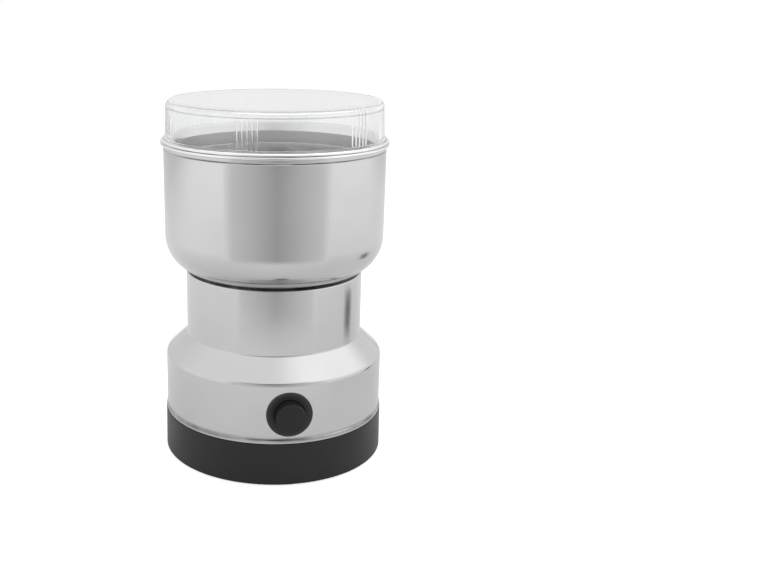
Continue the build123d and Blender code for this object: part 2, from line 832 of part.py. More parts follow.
# Armature core: slotted lamination stack on the shaft
slot_radius = winding_bar + slot_play
slot_circle = armature_radius - slot_depth
with BuildPart() as armature_core:
    with BuildSketch(Plane.XY.offset(z_stack)):
        Circle(armature_radius)
        Circle(shaft_radius + snug, mode=Mode.SUBTRACT)
        with PolarLocations(slot_circle, armature_slots):
            Circle(slot_radius, mode=Mode.SUBTRACT)
        with PolarLocations(armature_radius - slot_depth / 2, armature_slots):
            Rectangle(slot_depth, slot_mouth, mode=Mode.SUBTRACT)
    extrude(amount=stack_length)
armature_core.part.label = "armature_core"
export_step(armature_core.part, "parts/armature_core.step")

# Armature windings: bars in the slots joined by rounded end turns above and below the core
with BuildPart() as armature_windings:
    for start in (z_winding, z_stack_top):
        with BuildSketch(Plane.XY.offset(start)):
            Circle(winding_radius)
        extrude(amount=winding_overhang)
    fillet(armature_windings.edges().filter_by(GeomType.CIRCLE).group_by(Axis.Z)[0], winding_round)
    fillet(armature_windings.edges().filter_by(GeomType.CIRCLE).group_by(Axis.Z)[-1], winding_round)
    with BuildSketch(Plane.XY.offset(z_stack)):
        with PolarLocations(slot_circle, armature_slots):
            Circle(winding_bar)
    extrude(amount=stack_length)
    with BuildSketch(Plane.XY.offset(z_winding)):
        Circle(shaft_radius + snug)
    extrude(amount=stack_length + 2 * winding_overhang, mode=Mode.SUBTRACT)
armature_windings.part.label = "armature_windings"
export_step(armature_windings.part, "parts/armature_windings.step")

# Commutator: copper ring with grooves between its segments
with BuildPart() as commutator:
    with BuildSketch(Plane.XY.offset(z_commutator)):
        Circle(commutator_radius)
        Circle(shaft_radius + snug, mode=Mode.SUBTRACT)
        with PolarLocations(commutator_radius, commutator_segments):
            Rectangle(2 * commutator_groove, commutator_groove, mode=Mode.SUBTRACT)
    extrude(amount=commutator_length)
    with BuildSketch(Plane.XY.offset(z_commutator + commutator_length)):
        Circle(shaft_radius + hub_wall)
        Circle(shaft_radius + snug, mode=Mode.SUBTRACT)
    extrude(amount=riser_gap)
commutator.part.label = "commutator"
export_step(commutator.part, "parts/commutator.step")

# Thrust washer between the commutator and the lower bearing
with BuildPart() as thrust_washer:
    with BuildSketch(Plane.XY.offset(z_thrust)):
        Circle(thrust_radius)
        Circle(shaft_radius + snug, mode=Mode.SUBTRACT)
    extrude(amount=thrust_height)
thrust_washer.part.label = "thrust_washer"
export_step(thrust_washer.part, "parts/thrust_washer.step")

# Cooling fan: hub, plate and radial vanes at the foot of the shaft
vane_start = (shaft_radius + fan_hub) / 2
vane_end = fan_radius - fan_edge
with BuildPart() as cooling_fan:
    with BuildSketch(Plane.XY.offset(z_fan)):
        Circle(fan_hub)
        with PolarLocations((vane_start + vane_end) / 2, fan_vanes):
            Rectangle(vane_end - vane_start, fan_vane)
    extrude(amount=fan_height)
    with BuildSketch(Plane.XY.offset(z_fan + fan_height)):
        Circle(fan_radius)
    extrude(amount=-fan_plate)
    with BuildSketch(Plane.XY.offset(z_fan)):
        Circle(shaft_radius + snug)
    extrude(amount=fan_height, mode=Mode.SUBTRACT)
cooling_fan.part.label = "cooling_fan"
export_step(cooling_fan.part, "parts/cooling_fan.step")

# Stator core: rounded frame with two poles and a window above and below the bore
with BuildPart() as stator_core:
    with BuildSketch(Plane.XY.offset(z_stack)):
        RectangleRounded(2 * stator_half_width, 2 * stator_half_depth, stator_round)
        Circle(stator_bore, mode=Mode.SUBTRACT)
        with GridLocations(0, pole_half_width + window_y, 1, 2):
            Rectangle(2 * window_x, window_y - pole_half_width, mode=Mode.SUBTRACT)
        with GridLocations(0, 2 * bolt_offset, 1, 2):
            Circle(bolt_radius + bolt_play, mode=Mode.SUBTRACT)
    extrude(amount=stack_length)
stator_core.part.label = "stator_core"
export_step(stator_core.part, "parts/stator_core.step")

# Field coils: a flat wound loop round each pole
coil_hole_width = 2 * (pole_half_width + coil_play)
coil_hole_height = stack_length + 2 * coil_play
with BuildPart() as field_coils:
    for side in motor_sides:
        coil_plane = Plane(
            origin=(side * coil_inner, 0, z_stack + stack_length / 2), x_dir=(0, 1, 0), z_dir=(side, 0, 0)
        )
        with BuildSketch(coil_plane):
            RectangleRounded(coil_hole_width + 2 * coil_side, stack_length + 2 * coil_overhang, coil_round)
            Rectangle(coil_hole_width, coil_hole_height, mode=Mode.SUBTRACT)
        extrude(amount=coil_width)
field_coils.part.label = "field_coils"
export_step(field_coils.part, "parts/field_coils.step")

# Lower bracket: crossed arms with the lower bearing's hub, posts to the core and seats for the brushes
z_bracket_plate = z_bracket - bracket_plate
z_holder = z_brush - holder_size / 2
with BuildPart() as lower_bracket:
    with BuildSketch(Plane.XY.offset(z_bracket_plate)):
        Rectangle(2 * holder_end, bracket_arm)
        SlotCenterToCenter(2 * bolt_offset, bracket_arm, rotation=90)
    extrude(amount=bracket_plate)
    with BuildSketch(Plane.XY.offset(z_lower_bearing)):
        Circle(hub_radius)
    extrude(amount=bearing_length)
    with BuildSketch(Plane.XY.offset(z_bracket)):
        with GridLocations(0, 2 * bolt_offset, 1, 2):
            Circle(post_radius)
    extrude(amount=z_stack - z_bracket)
    with BuildSketch(Plane.XY.offset(z_bracket)):
        with GridLocations(holder_start + holder_end, 0, 2, 1):
            Rectangle(holder_length, holder_size)
    extrude(amount=z_holder - z_bracket)
    with BuildSketch(Plane.XY.offset(z_lower_bearing)):
        Circle(bearing_radius + snug)
    extrude(amount=bearing_length, mode=Mode.SUBTRACT)
    with BuildSketch(Plane.XY.offset(z_bracket_plate)):
        with GridLocations(0, 2 * bolt_offset, 1, 2):
            Circle(bolt_radius + bolt_play)
    extrude(amount=z_stack - z_bracket_plate, mode=Mode.SUBTRACT)
lower_bracket.part.label = "lower_bracket"
export_step(lower_bracket.part, "parts/lower_bracket.step")

# Motor bolts: from under the bracket through the core into the frame's posts
with BuildPart() as motor_bolts:
    with BuildSketch(Plane.XY.offset(z_bracket_plate)):
        with GridLocations(0, 2 * bolt_offset, 1, 2):
            Circle(bolt_radius)
    extrude(amount=z_stack_top + bolt_grip - z_bracket_plate)
    with BuildSketch(Plane.XY.offset(z_bracket_plate)):
        with GridLocations(0, 2 * bolt_offset, 1, 2):
            RegularPolygon(bolt_head, 6)
    extrude(amount=-bolt_head_height)
motor_bolts.part.label = "motor_bolts"
export_step(motor_bolts.part, "parts/motor_bolts.step")

# Brush gear: holder, carbon brush and its spring on each side of the commutator
brush_guide = brush_size + 2 * brush_play
brush_axis = [Plane(origin=(0, 0, z_brush), x_dir=(0, side, 0), z_dir=(side, 0, 0)) for side in motor_sides]
with BuildPart() as brush_holders:
    for axis in brush_axis:
        with BuildSketch(axis.offset(holder_start)):
            Rectangle(holder_size, holder_size)
        extrude(amount=holder_length)
        with BuildSketch(axis.offset(holder_start)):
            Rectangle(brush_guide, brush_guide)
        extrude(amount=holder_length - holder_wall, mode=Mode.SUBTRACT)
brush_holders.part.label = "brush_holders"
export_step(brush_holders.part, "parts/brush_holders.step")

with BuildPart() as carbon_brushes:
    for axis in brush_axis:
        with BuildSketch(axis):
            Rectangle(brush_size, brush_size)
        extrude(amount=brush_end)
    with BuildSketch(Plane.XY.offset(z_commutator)):
        Circle(commutator_radius + brush_gap)
    extrude(amount=commutator_length, mode=Mode.SUBTRACT)
carbon_brushes.part.label = "carbon_brushes"
export_step(carbon_brushes.part, "parts/carbon_brushes.step")

with BuildPart() as brush_springs:
    for axis in brush_axis:
        with BuildSketch(axis.offset(brush_end)):
            Circle(brush_size / 2)
            Circle(brush_size / 2 - spring_wire, mode=Mode.SUBTRACT)
        extrude(amount=holder_end - holder_wall - brush_end)
brush_springs.part.label = "brush_springs"
export_step(brush_springs.part, "parts/brush_springs.step")

# Motor leads: one from a switch terminal to a brush holder, one from the other holder to its field coil
lead_x = (holder_start + holder_end) / 2
terminal_end = terminal_start + terminal_length - skirt_radius
lead_turn = terminal_end + lead_bend + lead_radius
lead_route = [
    (terminal_gap / 2, terminal_end, z_button),
    (terminal_gap / 2, lead_turn, z_button),
    (lead_x, lead_turn, z_button),
    (lead_x, -holder_size / 2 - lead_drop, z_brush),
    (lead_x, -holder_size / 2, z_brush),
]
coil_bottom = z_stack - coil_overhang
link_x = -(coil_inner + coil_width + lead_drop)
link_route = [
    (link_x, 0, z_brush + holder_size / 2),
    (link_x, 0, coil_bottom + lead_drop),
    (-(coil_inner + coil_width), 0, coil_bottom + lead_drop),
]
with BuildPart() as motor_leads:
    for route in (lead_route, link_route):
        with BuildLine() as lead_line:
            FilletPolyline(*route, radius=lead_bend)
        with BuildSketch(Plane(origin=route[0], z_dir=lead_line.line % 0)):
            Circle(lead_radius)
        sweep(path=lead_line.line)
motor_leads.part.label = "motor_leads"
export_step(motor_leads.part, "parts/motor_leads.step")
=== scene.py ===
# %% [markdown]
# A small electric grinder, dressed for a studio picture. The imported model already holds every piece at
# its real size, from the motor to the lid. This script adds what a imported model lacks: steel smooth enough
# to carry reflections, a clear ribbed lid, a wound spring, and a finish for every surface.

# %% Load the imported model
import json
from math import atan2, cos, degrees, pi, radians, sin, tan

import bpy
from mathutils import Matrix, Vector


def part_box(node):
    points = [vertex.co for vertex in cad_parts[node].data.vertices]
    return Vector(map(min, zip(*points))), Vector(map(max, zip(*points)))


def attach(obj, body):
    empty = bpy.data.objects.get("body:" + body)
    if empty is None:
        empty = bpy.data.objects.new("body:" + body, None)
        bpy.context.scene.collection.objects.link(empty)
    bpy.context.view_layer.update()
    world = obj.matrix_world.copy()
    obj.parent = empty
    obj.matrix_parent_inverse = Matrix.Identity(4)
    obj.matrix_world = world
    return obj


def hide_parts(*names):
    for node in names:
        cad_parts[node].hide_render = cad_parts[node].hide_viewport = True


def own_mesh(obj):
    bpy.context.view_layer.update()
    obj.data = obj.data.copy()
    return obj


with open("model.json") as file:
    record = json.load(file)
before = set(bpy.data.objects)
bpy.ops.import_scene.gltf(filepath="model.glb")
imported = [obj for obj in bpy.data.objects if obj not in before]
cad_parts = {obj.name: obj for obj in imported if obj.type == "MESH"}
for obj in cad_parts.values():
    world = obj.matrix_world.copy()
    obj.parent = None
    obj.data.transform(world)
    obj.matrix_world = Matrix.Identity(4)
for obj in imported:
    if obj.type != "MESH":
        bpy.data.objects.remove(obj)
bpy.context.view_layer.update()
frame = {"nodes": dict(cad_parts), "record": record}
MM = 0.001

# %% [markdown]
# The camera comes first, because everything else is judged through it. It stands a little to the left of
# the button, just under half a metre from the grinder and above its lid, and looks down by sixteen degrees.
# It was held a trace askew, hence the small roll. The grinder stands left of the picture's middle, so the
# lens is shifted instead of turned.

# %% Camera
CAMERA_TURN = radians(-8.1)
CAMERA_DISTANCE = 463.9 * MM
CAMERA_HEIGHT = 211.5 * MM
CAMERA_PITCH = radians(16.16)
CAMERA_ROLL = radians(0.37)
SENSOR_WIDTH = 36
LENS = 47.83
LENS_SHIFT = 0.1433
towards_camera = Vector((sin(CAMERA_TURN), -cos(CAMERA_TURN), 0))

bpy.ops.object.select_all(action="DESELECT")
bpy.ops.object.camera_add(
    location=towards_camera * CAMERA_DISTANCE + Vector((0, 0, CAMERA_HEIGHT)),
    rotation=(pi / 2 - CAMERA_PITCH, 0, CAMERA_TURN),
)
camera = bpy.context.object
aimed = camera.rotation_euler.to_matrix()
camera.rotation_euler = (aimed @ Matrix.Rotation(CAMERA_ROLL, 3, "Z")).to_euler()
camera.data.sensor_width = SENSOR_WIDTH
camera.data.lens = LENS
camera.data.shift_x = LENS_SHIFT
bpy.context.scene.camera = camera
bpy.context.scene.view_settings.view_transform = "Standard"
print("camera at", [round(value, 4) for value in camera.location])

# %% [markdown]
# Stage and finishes are all built from shader nodes. A few small helpers keep that readable: each one adds
# a node, feeds its inputs with plain values or with another node's output, and hands back its result.

# %% Tools for shader nodes
# A Mix node has inputs for every kind of value. These are its factor and its two ends.
MIX_NUMBERS = (0, 2, 3)
MIX_COLOURS = (0, 6, 7)


def feed(tree, socket, setting):
    """Gives an input a plain value, or links another node's output to it."""
    if isinstance(setting, bpy.types.NodeSocket):
        tree.links.new(setting, socket)
    else:
        socket.default_value = setting


def computed(tree, operation, *terms):
    """A Math node's result."""
    node = tree.nodes.new("ShaderNodeMath")
    node.operation = operation
    for socket, term in zip(node.inputs, terms):
        feed(tree, socket, term)
    return node.outputs[0]


def measured(tree, operation, *vectors):
    """The number from a Vector Math node: a dot product, a distance or a length."""
    node = tree.nodes.new("ShaderNodeVectorMath")
    node.operation = operation
    for socket, vector in zip(node.inputs, vectors):
        feed(tree, socket, vector)
    return node.outputs["Value"]


def mixed(tree, share, first, second):
    """A number between two others, by the share of the second."""
    node = tree.nodes.new("ShaderNodeMix")
    for index, setting in zip(MIX_NUMBERS, (share, first, second)):
        feed(tree, node.inputs[index], setting)
    return node.outputs[0]


def ranged(tree, value, start, end, low, high, smooth=False):
    """A number that runs from low to high while the value runs from start to end."""
    node = tree.nodes.new("ShaderNodeMapRange")
    if smooth:
        node.interpolation_type = "SMOOTHSTEP"
    settings = {"Value": value, "From Min": start, "From Max": end, "To Min": low, "To Max": high}
    for label, setting in settings.items():
        feed(tree, node.inputs[label], setting)
    return node.outputs["Result"]


def position(tree, space="Object"):
    """The place of the point that is shaded, or in the world the direction of the look."""
    return tree.nodes.new("ShaderNodeTexCoord").outputs[space]


def split(tree, vector):
    """The X, Y and Z of a vector."""
    node = tree.nodes.new("ShaderNodeSeparateXYZ")
    tree.links.new(vector, node.inputs[0])
    return node.outputs


def grey(tone):
    """A colour without hue."""
    return (tone, tone, tone, 1)


print("shader tools ready")

# %% [markdown]
# Polished steel is only as good as what it reflects. The stage is a white studio, and its world has three
# strengths: white where the camera looks at it, directly or through clear plastic, half of that as a
# source of light, and in a mirror white overhead, brighter to the upper right, as beside a window, and
# dimmer on the far side. The Light Path node tells the three uses apart.

# %% World
WORLD_LIGHT = 0.5
WINDOW_SHINE = 1.34
WINDOW_WAY = (0.6, 0, 0.8)
WINDOW_EDGE = (0.72, 0.95)
FAR_SIDE = 0.84
FAR_SIDE_EDGE = (0.3, 0.9)


def strength(tree, direct, light, mirrored):
    """One strength for direct looks, one for light, and one for what a mirror shows."""
    path = tree.nodes.new("ShaderNodeLightPath").outputs
    straight = computed(tree, "MAXIMUM", path["Is Camera Ray"], path["Is Transmission Ray"])
    indirect = mixed(tree, path["Is Glossy Ray"], light, mirrored)
    return mixed(tree, straight, indirect, direct)


world = bpy.data.worlds.new("studio_world")
bpy.context.scene.world = world
world.use_nodes = True
tree = world.node_tree
background = tree.nodes["Background"]
background.inputs["Color"].default_value = grey(1)
sky = position(tree, "Generated")
sideways = measured(tree, "DOT_PRODUCT", sky, WINDOW_WAY)
window = ranged(tree, sideways, *WINDOW_EDGE, 1, WINDOW_SHINE, smooth=True)
dimmed = ranged(tree, split(tree, sky)["Y"], *FAR_SIDE_EDGE, window, FAR_SIDE)
tree.links.new(strength(tree, 1, WORLD_LIGHT, dimmed), background.inputs["Strength"])
print("world light", WORLD_LIGHT)

# %% [markdown]
# The floor is pale paper. It glows enough to stay white to the camera, yet it still takes the grinder's
# shadow. In a mirror it grows darker towards the grinder, because a real table is shaded there, a little
# more on the right. That is what tones the lower half of the steel down.

# %% Floor
FLOOR_RADIUS = 9.5
FLOOR_TONE = 0.46
FLOOR_ROUGHNESS = 0.9
FLOOR_GLOW = 0.8
FLOOR_MIRRORED_NEAR = 0.31
FLOOR_MIRRORED_FAR = 0.76
FLOOR_MIRRORED_BACK = 0.42
SHADE_CENTRE = (0.08, 0, 0)
SHADE_EDGE = (0.1, 0.9)
BACK_EDGE = (0.15, 0.6)

bpy.ops.object.select_all(action="DESELECT")
bpy.ops.mesh.primitive_circle_add(vertices=96, radius=FLOOR_RADIUS, fill_type="NGON")
floor = bpy.context.object
floor.name = "floor"
floor_paper = bpy.data.materials.new("floor_paper")
floor_paper.use_nodes = True
tree = floor_paper.node_tree
paper = tree.nodes["Principled BSDF"]
paper.inputs["Base Color"].default_value = grey(FLOOR_TONE)
paper.inputs["Roughness"].default_value = FLOOR_ROUGHNESS
paper.inputs["Specular IOR Level"].default_value = 0
paper.inputs["Emission Color"].default_value = grey(1)
place = position(tree)
# Painted shade: seen in a mirror, the floor's glow drops near the grinder and on the far side.
away = measured(tree, "DISTANCE", place, SHADE_CENTRE)
shaded = ranged(tree, away, *SHADE_EDGE, FLOOR_MIRRORED_NEAR, FLOOR_MIRRORED_FAR)
dimmed = ranged(tree, split(tree, place)["Y"], *BACK_EDGE, shaded, FLOOR_MIRRORED_BACK)
tree.links.new(strength(tree, FLOOR_GLOW, 0, dimmed), paper.inputs["Emission Strength"])
floor.data.materials.append(floor_paper)
print("floor radius", FLOOR_RADIUS)

# %% [markdown]
# One wide lamp above and a smaller one at each side give the soft light. Steel would show them as hard
# white squares, so reflections leave the lamps out and the world alone shapes the gloss.

# %% Lamps
waist = Vector((0, 0, 80 * MM))


def soft_lamp(name, place, size, power):
    """A square area lamp that looks at the grinder's waist."""
    bpy.ops.object.select_all(action="DESELECT")
    bpy.ops.object.light_add(type="AREA", location=place)
    lamp = bpy.context.object
    lamp.name = name
    lamp.data.size = size
    lamp.data.energy = power
    lamp.rotation_euler = (waist - Vector(place)).to_track_quat("-Z", "Y").to_euler()
    lamp.visible_glossy = False
    return lamp


lamps = [
    soft_lamp("lamp_above", place=(0.2, -0.1, 1.0), size=1.4, power=8),
    soft_lamp("lamp_left", place=(-1.0, -0.5, 0.7), size=0.7, power=1.6),
    soft_lamp("lamp_right", place=(1.0, -0.3, 0.6), size=0.7, power=0.5),
]
print("lamps", [lamp.name for lamp in lamps])

# %% [markdown]
# A round mirror in a white room would be a flat grey shape. Photographers stand grey cards round such a
# piece, and the soft dark bands down its front are those cards. Each card here is a strip of a cylinder
# round the grinder, spun from one upright edge, with its outermost part paler to keep the band's edge soft.
# Only reflections see it, so it shades nothing.

# %% Grey cards
CARD_RADIUS = 0.2
CARD_STEPS = 32
CARD_SOFT_FROM = 0.88
CARD_FOOT_TONE = 0.85


def from_point(name, place):
    """A new piece in edit mode that holds a single selected point, ready to be drawn out."""
    bpy.ops.object.select_all(action="DESELECT")
    bpy.ops.mesh.primitive_plane_add(size=MM)
    piece = bpy.context.object
    piece.name = name
    bpy.ops.object.mode_set(mode="EDIT")
    bpy.ops.mesh.select_all(action="SELECT")
    bpy.ops.mesh.merge(type="CENTER")
    bpy.ops.transform.translate(value=place)
    return piece


def grey_card(name, turn, half_width, low, high, middle, edge, foot):
    """An upright curved card, turned from the camera's side, from a middle to an edge brightness."""
    facing = CAMERA_TURN + turn
    side = facing + half_width
    card = from_point(name, (sin(side) * CARD_RADIUS, -cos(side) * CARD_RADIUS, low))
    bpy.ops.mesh.extrude_region_move(TRANSFORM_OT_translate={"value": (0, 0, high - low)})
    bpy.ops.mesh.select_all(action="SELECT")
    bpy.ops.mesh.spin(steps=CARD_STEPS, angle=2 * half_width, center=(0, 0, 0), axis=(0, 0, 1))
    bpy.ops.object.mode_set(mode="OBJECT")
    card.visible_camera = False
    card.visible_diffuse = False
    card.visible_transmission = False
    card.visible_shadow = False
    paint = bpy.data.materials.new(name)
    paint.use_nodes = True
    tree = paint.node_tree
    tree.nodes.remove(tree.nodes["Principled BSDF"])
    place = position(tree)
    across = measured(tree, "DOT_PRODUCT", place, (cos(facing), sin(facing), 0))
    aside = computed(tree, "ABSOLUTE", across)
    reach = CARD_RADIUS * sin(half_width)
    fade = ranged(tree, aside, 0, reach, middle, edge)
    soft = ranged(tree, aside, CARD_SOFT_FROM * reach, reach, fade, 1)
    rise = ranged(tree, split(tree, place)["Z"], low, low + foot, CARD_FOOT_TONE, soft)
    shine = tree.nodes.new("ShaderNodeEmission")
    tree.links.new(rise, shine.inputs["Strength"])
    tree.links.new(shine.outputs[0], tree.nodes["Material Output"].inputs["Surface"])
    card.data.materials.append(paint)
    return card


cards = [
    grey_card("card_front", radians(3), radians(48), low=0.001, high=0.13, middle=0.46, edge=0.83, foot=0.04),
    grey_card("card_high", 0, radians(40), low=0.13, high=0.19, middle=0.1, edge=0.8, foot=0.001),
    grey_card("card_side", radians(103), radians(8), low=0.001, high=0.032, middle=0.1, edge=0.5, foot=0.002),
]
for card in cards:
    spread = [round(value, 3) for corner in (card.bound_box[0], card.bound_box[6]) for value in corner]
    print(card.name, spread)

# %% [markdown]
# Steel sheet, clear plastic and moulded plastic share a few surface effects. Each effect is a node group
# with named sockets, built once here and placed in every finish that needs it. The first one is the fine
# grain that polishing leaves on a turned piece: it runs round the axis, so its pattern is stretched along
# the angle and tight along height and radius.

# %% Turned grain
GRAIN_LINES = 2600.0
GRAIN_STRETCH = 0.0012


def effect(name, inputs, output):
    """A shader node group with number sockets, and its input and output nodes."""
    tree = bpy.data.node_groups.new(name, "ShaderNodeTree")
    for label, value in inputs.items():
        socket = tree.interface.new_socket(label, in_out="INPUT", socket_type="NodeSocketFloat")
        socket.default_value = value
    tree.interface.new_socket(output, in_out="OUTPUT", socket_type="NodeSocketFloat")
    return tree, tree.nodes.new("NodeGroupInput"), tree.nodes.new("NodeGroupOutput")


def joined(tree, *parts):
    """A vector from its X, Y and Z."""
    node = tree.nodes.new("ShaderNodeCombineXYZ")
    for socket, part in zip(node.inputs, parts):
        feed(tree, socket, part)
    return node.outputs[0]


def noise(tree, place, scale, detail):
    """A soft noise at a place."""
    node = tree.nodes.new("ShaderNodeTexNoise")
    for label, setting in {"Vector": place, "Scale": scale, "Detail": detail}.items():
        feed(tree, node.inputs[label], setting)
    return node.outputs["Fac"]


grain_tree, given, result = effect("turned_grain", {"Lines": GRAIN_LINES}, "Height")
parts = split(grain_tree, position(grain_tree))
angle = computed(grain_tree, "ARCTAN2", parts["X"], parts["Y"])
stretched = computed(grain_tree, "MULTIPLY", angle, GRAIN_STRETCH)
radius = measured(grain_tree, "LENGTH", joined(grain_tree, parts["X"], parts["Y"]))
wrapped = joined(grain_tree, stretched, radius, parts["Z"])
lines = noise(grain_tree, wrapped, given.outputs["Lines"], 3)
grain_tree.links.new(lines, result.inputs["Height"])
print("effect", grain_tree.name)

# %% [markdown]
# The second effect is what hands and cloths leave: soft smudges a few centimetres wide. The third is the
# slight unevenness of drawn sheet, which makes a straight reflection waver. The fourth is the fine
# spark-eroded skin of a mould, printed on every plastic piece.

# %% Smudges, sheet waves and moulded skin
def cloud_effect(name, scale, detail, low, high):
    """A noise in object space with its contrast raised, as a group with one scale socket."""
    tree, given, result = effect(name, {"Scale": scale}, "Value")
    cloud = noise(tree, position(tree), given.outputs["Scale"], detail)
    tree.links.new(ranged(tree, cloud, low, high, 0, 1), result.inputs["Value"])
    return tree


smudge_tree = cloud_effect("handling_smudges", scale=38, detail=4, low=0.35, high=0.7)
wave_tree = cloud_effect("sheet_waves", scale=26, detail=1, low=0.2, high=0.8)
skin_tree = cloud_effect("moulded_skin", scale=2400, detail=2, low=0.25, high=0.75)
print("effects", [tree.name for tree in bpy.data.node_groups])

# %% [markdown]
# The last effect is painted shade: the dark line where a crease lies in shadow, under the rolled rim, in the
# seam of bowl and neck and above the hem. It is a ring at one height, and a noise breaks it up. A wide ring
# makes a broad band of painted shade.

# %% Painted crease shade
PATCH_SCALE = 70
PATCH_EDGE = (0.3, 0.6)
PATCH_LEAST = 0.35

shade_ring_tree, given, result = effect("painted_shade_ring", {"Height": 0.1, "Reach": 0.0005}, "Mask")
place = position(shade_ring_tree)
above = computed(shade_ring_tree, "SUBTRACT", split(shade_ring_tree, place)["Z"], given.outputs["Height"])
off = computed(shade_ring_tree, "ABSOLUTE", above)
ring = ranged(shade_ring_tree, off, 0, given.outputs["Reach"], 1, 0, smooth=True)
patches = noise(shade_ring_tree, place, PATCH_SCALE, 2)
broken = ranged(shade_ring_tree, patches, *PATCH_EDGE, PATCH_LEAST, 1)
shade_ring_tree.links.new(computed(shade_ring_tree, "MULTIPLY", ring, broken), result.inputs["Mask"])
print("effect", shade_ring_tree.name)

# %% [markdown]
# Every finish starts the same way: a Principled shader with its plain values, a colour that drifts between
# two close tones, and a roughness that drifts with it. A small recipe keeps those steps in one place, and
# each finish then adds its own bump.

# %% Recipe for a finish
def placed(material, tree, **values):
    """One of the effects, placed in a material with its own values."""
    node = material.node_tree.nodes.new("ShaderNodeGroup")
    node.node_tree = tree
    for label, value in values.items():
        node.inputs[label].default_value = value
    return node.outputs[0]


def tint(material, mask, dark, light):
    """Lets a mask move the base colour between two tones, or from what feeds it to the second."""
    tree = material.node_tree
    mix = tree.nodes.new("ShaderNodeMix")
    mix.data_type = "RGBA"
    colour = tree.nodes["Principled BSDF"].inputs["Base Color"]
    first = colour.links[0].from_socket if dark is None else (*dark, 1)
    for index, setting in zip(MIX_COLOURS, (mask, first, (*light, 1))):
        feed(tree, mix.inputs[index], setting)
    tree.links.new(mix.outputs[2], colour)


def raised(material, height, distance, under=None):
    """A bump of a given depth in metres, laid over an earlier one."""
    tree = material.node_tree
    bump = tree.nodes.new("ShaderNodeBump")
    bump.inputs["Distance"].default_value = distance
    tree.links.new(height, bump.inputs["Height"])
    if under is not None:
        tree.links.new(under, bump.inputs["Normal"])
    tree.links.new(bump.outputs["Normal"], tree.nodes["Principled BSDF"].inputs["Normal"])
    return bump.outputs["Normal"]


def worn_finish(name, smudges, dark, light, smooth, rough, metallic=0.0, specular=0.5):
    """A material whose colour and roughness drift between two ends with its smudges."""
    material = bpy.data.materials.new(name)
    material.use_nodes = True
    tree = material.node_tree
    shader = tree.nodes["Principled BSDF"]
    shader.inputs["Metallic"].default_value = metallic
    shader.inputs["Specular IOR Level"].default_value = specular
    smudge = placed(material, smudge_tree, Scale=smudges)
    tint(material, smudge, dark, light)
    tree.links.new(ranged(tree, smudge, 0, 1, smooth, rough), shader.inputs["Roughness"])
    return material


finishes = {}
print("recipe ready")

# %% [markdown]
# Five steels are needed. The outside is polished sheet, almost a mirror, and a little uneven from drawing, so
# a wave goes under its grain. The rolled bead gets a paler copy of that steel, a painted highlight, and the
# mouth inside it a paler steel still. The bowl's inside is satin, scoured by what is ground in it, and its
# pale tone makes up for the light lost in the clear lid: painted light. Small turned steel parts are bright
# and carry a coarser grain. One table holds the scale of their smudges, two tones, two values of roughness,
# and how many lines of grain they carry, how deep.

# %% Steel
STEELS = {
    "steel": ("polished_sheet", 34, 0.60, 0.64, 0.13, 0.2, 2600, 0.0000012),
    # The bead's paler tone is a painted highlight.
    "bead": ("bead_painted_highlight", 60, 0.86, 0.91, 0.06, 0.12, 2600, 0.000001),
    "mouth": ("pale_mouth_steel", 60, 0.94, 0.97, 0.12, 0.18, 2600, 0.000001),
    # The inside's pale tone is painted light, making up for light lost in the lid.
    "bowl_inside": ("satin_inside", 34, 0.9, 0.95, 0.38, 0.46, 2600, 0.000003),
    "bright_steel": ("machined_steel", 160, 0.58, 0.66, 0.16, 0.28, 3200, 0.000002),
}
WAVE_SCALE = 30
WAVE_DEPTH = 0.00025
for slot, (name, smudges, dark, light, smooth, rough, lines, depth) in STEELS.items():
    steel = worn_finish(name, smudges, (dark,) * 3, (light,) * 3, smooth, rough, metallic=1.0)
    waved = None
    if slot == "steel":
        waved = raised(steel, placed(steel, wave_tree, Scale=WAVE_SCALE), WAVE_DEPTH)
    raised(steel, placed(steel, grain_tree, Lines=lines), depth, waved)
    finishes[slot] = steel
print("finishes", sorted(finishes))

# %% [markdown]
# Painted shade goes on three of them: dark lines in the sheet's creases, in the bead's fold and at its lower
# edge, and a darker band in the bowl's inside below the lid's plug and round the floor. Each ring of it has a
# height and a reach in millimetres, and a tone.

# %% Painted shade on the steel
PAINTED_SHADE_RINGS = {
    "steel": ((144.0, 0.5, 0.05), (91.8, 0.35, 0.05), (88.0, 0.9, 0.03), (22.0, 1.7, 0.2)),
    "bead": ((147.2, 0.3, 0.1), (145.8, 0.25, 0.1)),
    "bowl_inside": ((130.0, 13.0, 0.22), (88.0, 18.0, 0.4)),
}
for slot, rings in PAINTED_SHADE_RINGS.items():
    for height, reach, tone in rings:
        ring = placed(finishes[slot], shade_ring_tree, Height=height * MM, Reach=reach * MM)
        tint(finishes[slot], ring, None, (tone,) * 3)
print("rings of painted shade", sum(len(rings) for rings in PAINTED_SHADE_RINGS.values()))

# %% [markdown]
# The plastics differ only in tone, gloss and depth of skin, so one table of plain values makes them all.
# The blacks are kept very dark, because their gloss already lifts them to the grey that the eye sees. The
# base is a little glossier than the rest.

